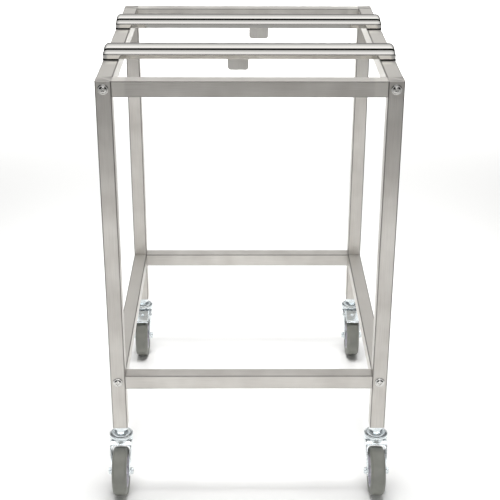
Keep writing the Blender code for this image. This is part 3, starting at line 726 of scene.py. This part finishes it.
def drawn_copy(name, node, ease):
    """The node's solid, its triangles merged into whole faces and every edge rounded by the ease, as the
    dies leave it."""
    bm = bmesh.new()
    bm.from_mesh(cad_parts[node].data)
    bmesh.ops.remove_doubles(bm, verts=bm.verts[:], dist=1e-6)
    bmesh.ops.dissolve_limit(bm, angle_limit=radians(1.5), verts=bm.verts[:], edges=bm.edges[:])
    mesh = bpy.data.meshes.new(name)
    bm.to_mesh(mesh)
    bm.free()
    mesh.shade_smooth()
    piece = bpy.data.objects.new(name, mesh)
    bpy.context.scene.collection.objects.link(piece)
    rounding = piece.modifiers.new("Drawn edges", "BEVEL")
    rounding.width = ease
    rounding.segments = 3
    rounding.limit_method = "ANGLE"
    rounding.angle_limit = radians(28)
    weigh_normals(piece)
    return piece


for corner in CORNERS:
    node = corner + "_fork"
    fit(drawn_copy(corner + "_pressed_fork", node, FORK_EASE), zinc, corner + "_swivel", "zinc_plate", node)
    low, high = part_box(corner + "_upper_race")
    base = ((low.x + high.x) / 2, (low.y + high.y) / 2, 0)
    profile = [(radius * MM, height * MM) for radius, height in CROWN_OUTSIDE + CROWN_INSIDE]
    crown_cup = turned(corner + "_fork_crown", profile, "Z", base, closed=True)
    fit(crown_cup, zinc, corner + "_swivel", "zinc_plate", node)

# Wheels ------------------------------------------------------------------------------------------------
# A hub moulded in light grey polypropylene with dished faces, and a grey rubber tyre moulded over its rim.
# An M8 bolt with a flanged nut is the axle; its sizes, and its distances from the wheel's middle, are in mm.
BOLT_R = 4.0
BOLT_HEX = 13.0
BOLT_SEAT = 19.4
BOLT_FLANGE = 20.7
BOLT_END = 25.5
NUT_END = 25.0


def hub_profile():
    """Half of the hub from bore to rim: boss, dish with a soft floor, and a raised rim; then its mirror."""
    dish = [(4.3, 14.9), (8.2, 14.9), (9.0, 14.3), (9.6, 10.6), (11.2, 9.4), (26.4, 9.0), (28.4, 9.8),
            (29.4, 12.9), (30.4, 13.6), (34.0, 13.6)]
    return [(r * MM, d * MM) for r, d in dish] + [(r * MM, -d * MM) for r, d in dish[::-1]]


def tyre_profile():
    """Half of the tyre: bead, flat side wall, round shoulder and slightly crowned tread; then its mirror."""
    shoulder = arc((8.2, 43.1), 6.8, 8, 80, 14)
    tread = [(6.5, 49.92), (3.2, 49.98)]
    half = [(34.3, 13.9), (35.6, 14.4), (36.2, 14.2), (37.4, 14.8), (41.0, 15.0)]
    half += [(r, d) for d, r in shoulder] + [(r, d) for d, r in tread]
    return [(r * MM, d * MM) for r, d in half] + [(r * MM, -d * MM) for r, d in half[::-1]]


def hub_plastic():
    """Moulded polypropylene: pale lavender grey, waxy, with faint flow clouds and a satin mould texture."""
    material, tree, shader = new_material("grey_polypropylene", ior=1.49, subsurface_weight=0.05)
    spot = add_node(tree, "ShaderNodeTexCoord")
    clouds = add_node(tree, "ShaderNodeTexNoise", {"Vector": spot.outputs["Object"],
                                                   "Scale": 90.0, "Detail": 3.0})
    colour = blend(tree, clouds.outputs[0], linear("#cdc8d2"), linear("#ddd9e0"))
    gloss = add_node(tree, "ShaderNodeMapRange", {"Value": clouds.outputs[0], "To Min": 0.38, "To Max": 0.52})
    relief = add_node(tree, "ShaderNodeBump", {"Height": clouds.outputs[0], "Distance": 0.04 * MM})
    connect(shader, base_color=colour, roughness=gloss.outputs[0], normal=relief.outputs[0])
    return material


def tyre_rubber():
    """Non-marking grey rubber, moulded: mid grey, satin, a little dusty, with speckle drawn at 1.2 mm."""
    material, tree, shader = new_material("grey_tyre_rubber", ior=1.5)
    spot = add_node(tree, "ShaderNodeTexCoord")
    dust = add_node(tree, "ShaderNodeTexNoise", {"Vector": spot.outputs["Object"],
                                                 "Scale": 55.0, "Detail": 5.0})
    speckle = add_node(tree, "ShaderNodeTexNoise", {"Vector": spot.outputs["Object"],
                                                    "Scale": 830.0, "Detail": 2.0})
    colour = blend(tree, dust.outputs[0], linear("#71726c"), linear("#85867f"))
    gloss = add_node(tree, "ShaderNodeMapRange", {"Value": dust.outputs[0], "To Min": 0.34, "To Max": 0.5})
    relief = add_node(tree, "ShaderNodeBump", {"Height": speckle.outputs[0], "Distance": 0.04 * MM})
    connect(shader, base_color=colour, roughness=gloss.outputs[0], normal=relief.outputs[0])
    return material


def axle_bolt(name, centre, half):
    """Rings along the bolt: domed hexagon head, its flange, the shank, and the thread's grooved end."""
    rings = [place(hexagon(BOLT_HEX * MM, r * MM, count=48), -d * MM, "X", centre)
             for r, d in ((2.0, half), (4.6, half - 0.15), (6.6, half - 0.7), (7.3, half - 1.6),
                          (7.3, BOLT_FLANGE + 0.5))]
    rings += [place(circle(r * MM, 48), -d * MM, "X", centre)
              for r, d in ((7.6, BOLT_FLANGE + 0.1), (7.9, BOLT_FLANGE - 0.4), (7.9, BOLT_SEAT),
                           (BOLT_R, BOLT_SEAT))]
    thread = np.arange(BOLT_FLANGE - 1, half - 0.5, 0.4)
    for number, d in enumerate(thread):
        rings.append(place(circle((BOLT_R - 0.35 * (number % 2)) * MM, 48), d * MM, "X", centre))
    rings.append(place(circle((BOLT_R - 0.7) * MM, 48), half * MM, "X", centre))
    return skin(name, rings, crease=25)


def axle_nut(name, centre, outer):
    """A flanged nut on the bolt's thread, its outer corners chamfered by a cone."""
    profile = [(circle(r * MM, 48), d) for r, d in ((4.1, BOLT_SEAT), (7.9, BOLT_SEAT),
                                                    (7.9, BOLT_FLANGE - 0.4), (7.6, BOLT_FLANGE + 0.1))]
    profile += [(hexagon(BOLT_HEX * MM, r * MM, count=48), d)
                for r, d in ((7.3, BOLT_FLANGE + 0.5), (7.3, outer - 0.8), (6.5, outer))]
    profile += [(circle(4.1 * MM, 48), outer)]
    return skin(name, [place(outline, d * MM, "X", centre) for outline, d in profile], closed=True, crease=25)


hub_finish, tyre_finish = hub_plastic(), tyre_rubber()
for corner in CORNERS:
    low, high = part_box(corner + "_tyre")
    centre = tuple((low + high) / 2)
    hub = turned(corner + "_wheel_hub", hub_profile(), "X", centre, closed=True, crease=30)
    fit(hub, hub_finish, corner + "_wheel", "hub_plastic", corner + "_hub")
    tyre = turned(corner + "_wheel_tyre", tyre_profile(), "X", centre, closed=True, count=128)
    fit(tyre, tyre_finish, corner + "_wheel", "tyre_rubber", corner + "_tyre")
    bolt = axle_bolt(corner + "_m8_bolt", centre, BOLT_END)
    fit(bolt, zinc, corner + "_swivel", "zinc_plate", corner + "_axle_bolt")
    nut = axle_nut(corner + "_m8_nut", centre, NUT_END)
    fit(nut, zinc, corner + "_swivel", "zinc_plate", corner + "_axle_bolt")

# Brake pedals ------------------------------------------------------------------------------------------
# Pressed from 2 mm steel and zinc-plated: a treadle with a round dimple and a turned-down lip, side
# flanges that turn on a riveted pin between the fork's ears, and a black rubber shoe over the tyre: a brake
# part, which also stands in for the shade under the lip as a dark piece. The sizes in mm here are (Y, Z) from
# the kingpin and over the floor.
PEDAL_SHEET = 2.0 * MM
PEDAL_HALF = 17.5
PEDAL_FLANGE = 2.0
SHOE_AND_SHADE_HALF = 9.5
DIMPLE_Y = -42.5
DIMPLE_R = 5.8
DIMPLE_DEPTH = 1.7


def smooth_path(points, count):
    """Points through a chain of corners, softened three times by cutting each corner at a quarter of its
    sides, and then taken at even distances."""
    path = np.array(points, float)
    for _ in range(3):
        cut = np.stack([path[:-1] * 0.75 + path[1:] * 0.25, path[:-1] * 0.25 + path[1:] * 0.75], 1)
        path = np.concatenate([path[:1], cut.reshape(-1, path.shape[1]), path[-1:]])
    length = np.concatenate([[0], np.cumsum(np.linalg.norm(np.diff(path, axis=0), axis=1))])
    walk = np.linspace(0, length[-1], count)
    return np.stack([np.interp(walk, length, path[:, k]) for k in range(path.shape[1])], 1)


def treadle(name, x, y):
    """A path from the pin's end down the slope and round the lip, carried across X; the corners of the lip
    are drawn in, the edges roll down a little, and the dimple is a cosine bowl, all in mm."""
    path = smooth_path([(-27.6, 113.2), (-40, 109.2), (-56.6, 103.6), (-60.4, 102.0), (-61.6, 98.9)], 44)
    across = np.linspace(-1, 1, 37)
    reach = PEDAL_HALF - 3.2 * np.clip((-path[:, 0] - 57.0) / 4.6, 0, 1) ** 2
    gx = reach[:, None] * across[None, :]
    gy = np.repeat(path[:, :1], len(across), 1)
    gz = np.repeat(path[:, 1:], len(across), 1)
    away = np.hypot(gx, (gy - DIMPLE_Y) * 1.05)
    bowl = DIMPLE_DEPTH * (0.5 + 0.5 * np.cos(pi * np.clip(away / DIMPLE_R, 0, 1)))
    bowl = np.where(away < DIMPLE_R, bowl, 0)
    roll = 1.1 * np.clip(np.abs(across)[None, :] - 0.88, 0, 1) ** 2 / 0.12 ** 2
    grid = np.dstack([gx, gy, gz - bowl - roll]) * MM + (x, y, 0)
    return sheet(name, grid[::-1], PEDAL_SHEET, crease=50)


def plate(name, outline, start, end, x, y, ease=0.4):
    """A flat (Y, Z) outline in mm carried along X from start to end, its edges eased."""
    outline = smooth_path([*outline, outline[0]], 49)[:-1]
    middle = outline.mean(0)
    rings = []
    for inset, d in ((ease, start), (0, start + ease), (0, end - ease), (ease, end)):
        away = outline - middle
        inner = middle + away * (1 - inset / np.linalg.norm(away, axis=1, keepdims=True))
        rings.append(place(inner * MM, d * MM, "X", (x, y, 0)))
    return skin(name, rings)


FLANGE = [(-27.4, 112.2), (-26.4, 105.0), (-30.0, 101.2), (-37.5, 102.0), (-55.6, 99.8), (-57.0, 101.6),
          (-40, 107.4)]
SHOE_AND_PAINTED_SHADE = [(-38.6, 107.0), (-38.6, 101.3), (-45.0, 99.8), (-52.4, 98.6), (-52.4, 103.4)]
for corner in ("rear_left", "rear_right"):
    low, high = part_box(corner + "_upper_race")
    x, y = (low.x + high.x) / 2, (low.y + high.y) / 2
    body = corner + "_pedal"
    node = corner + "_brake_pedal"
    fit(treadle(corner + "_treadle", x, y), zinc, body, "zinc_plate", node)
    for side, start in (("left", -PEDAL_HALF), ("right", PEDAL_HALF - PEDAL_FLANGE)):
        flange = plate(f"{corner}_pedal_{side}_flange", FLANGE, start, start + PEDAL_FLANGE, x, y)
        fit(flange, zinc, body, "zinc_plate", node)
    # The black rubber shoe is a brake part and also painted shade: a dark piece under the treadle's lip.
    shoe_and_shade = plate(corner + "_brake_shoe_and_painted_shade", SHOE_AND_PAINTED_SHADE, -SHOE_AND_SHADE_HALF, SHOE_AND_SHADE_HALF, x, y, 0.8)
    fit(shoe_and_shade, pad_rubber, body, "pad_rubber", node)
    low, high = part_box(corner + "_pedal_pin")
    middle = tuple((low + high) / 2)
    end = (high.x - low.x) / 2
    head = [(radius * MM, end - depth * MM)
            for radius, depth in ((1.2, 0), (3.4, 0.4), (4.2, 1.3), (4.2, 1.8), (2.5, 1.8))]
    profile = [(r, -d) for r, d in head] + head[::-1]
    pin = turned(corner + "_pin_rivet", profile, "X", middle, count=48)
    fit(pin, zinc, corner + "_swivel", "zinc_plate", corner + "_pedal_pin")

# Studio ------------------------------------------------------------------------------------------------
# A pale floor under four soft lights: one over the stand, one over the floor behind it, and a high and a low
# one in front. The room is bright overhead, grey behind, and dark behind the camera.
FLOOR_SIZE = 30
BACKDROP = 0.62


def add_floor():
    """A wide plain floor, pale and matt."""
    material, tree, shader = new_material("pale_floor", roughness=1.0, specular_ior_level=0.0,
                                          base_color=linear("#eaeae9"))
    half = FLOOR_SIZE / 2
    corners = [(-half, -half, 0), (half, -half, 0), (half, half, 0), (-half, half, 0)]
    floor = add_piece("floor", corners, [(0, 1, 2, 3)], closed=False)
    floor.location.z = -0.3 * MM
    floor.data.materials.append(material)


def add_area(name, location, target, size, power, spread=180, mirrored=False):
    """A soft rectangular light that faces its target. Its beam is as wide as the spread, in degrees. Unless
    it is mirrored it lights the matt surfaces only, and the metal mirrors the room."""
    data = bpy.data.lights.new(name, "AREA")
    data.shape = "RECTANGLE"
    data.size, data.size_y = size
    data.energy = power
    data.spread = radians(spread)
    light = bpy.data.objects.new(name, data)
    bpy.context.scene.collection.objects.link(light)
    light.location = location
    light.rotation_euler = (Vector(target) - Vector(location)).to_track_quat("-Z", "Y").to_euler()
    light.visible_glossy = mirrored
    light.visible_camera = False


def add_world():
    """The room by direction: a ramp by height from the horizon to overhead, dimmed towards the front and both
    flanks. Past the floor's edge the eye sees a plain pale backdrop."""
    world = bpy.data.worlds.new("studio")
    bpy.context.scene.world = world
    world.use_nodes = True
    tree = world.node_tree
    spot = add_node(tree, "ShaderNodeTexCoord")
    split = add_node(tree, "ShaderNodeSeparateXYZ", {0: spot.outputs["Generated"]})
    height = add_node(tree, "ShaderNodeValToRGB", {"Fac": split.outputs["Z"]})
    stops = height.color_ramp.elements
    # The ramp starts with two stops of its own, and the last can only go once the others stand.
    stops.remove(stops[1])
    for position, value in ((0.0, 0.05), (0.2, 0.16), (0.34, 0.48), (0.5, 0.62), (0.62, 0.8), (0.73, 1.05),
                            (0.85, 1.25), (1.0, 1.3)):
        stops.new(position).color = (value, value, value, 1)
    stops.remove(stops[0])
    side = add_node(tree, "ShaderNodeMapRange",
                    {"Value": split.outputs["Y"], "From Min": -0.55, "From Max": -0.05,
                     "To Min": 0.02, "To Max": 1.0}, interpolation_type="SMOOTHSTEP")
    sideways = add_node(tree, "ShaderNodeMath", {0: split.outputs["X"]}, operation="ABSOLUTE")
    flank = add_node(tree, "ShaderNodeMapRange",
                     {"Value": sideways.outputs[0], "From Min": 0.35, "From Max": 0.75,
                      "To Min": 1.0, "To Max": 0.14}, interpolation_type="SMOOTHSTEP")
    both = add_node(tree, "ShaderNodeMath", {0: side.outputs[0], 1: flank.outputs[0]}, operation="MULTIPLY")
    level = add_node(tree, "ShaderNodeMath", {0: height.outputs[0], 1: both.outputs[0]}, operation="MULTIPLY")
    path = add_node(tree, "ShaderNodeLightPath")
    seen = add_node(tree, "ShaderNodeMix", {0: path.outputs["Is Camera Ray"],
                                            2: level.outputs[0], 3: BACKDROP})
    tree.links.new(seen.outputs[0], tree.nodes["Background"].inputs["Color"])


def add_camera():
    """Stands 1.45 m up and 2.3 m in front of the stand, and looks down on it."""
    camera = bpy.data.objects.new("camera", bpy.data.cameras.new("camera"))
    bpy.context.scene.collection.objects.link(camera)
    camera.data.lens = 82.8
    camera.data.sensor_width = 36.0
    camera.location = (-0.0168, -2.263, 1.4455)
    camera.rotation_euler = (radians(90 - 24.48), radians(-0.19), radians(-0.43))
    bpy.context.scene.camera = camera


add_floor()
add_area("overhead", (0.0, 0.1, 2.2), (0, 0.1, 0), (1.0, 0.8), 14, spread=80)
add_area("background", (0.0, 4.6, 3.2), (0, 3.8, 0), (6.0, 2.0), 135, spread=90)
add_area("front", (0.0, -4.4, 2.6), (0, -1.4, 0), (2.8, 1.3), 7.2, spread=60, mirrored=True)
add_area("low front", (0.0, -1.3, 0.16), (0, -0.3, 0.12), (1.8, 0.26), 0.6, spread=80, mirrored=True)
add_world()
add_camera()
bpy.context.scene.view_settings.view_transform = "Standard"
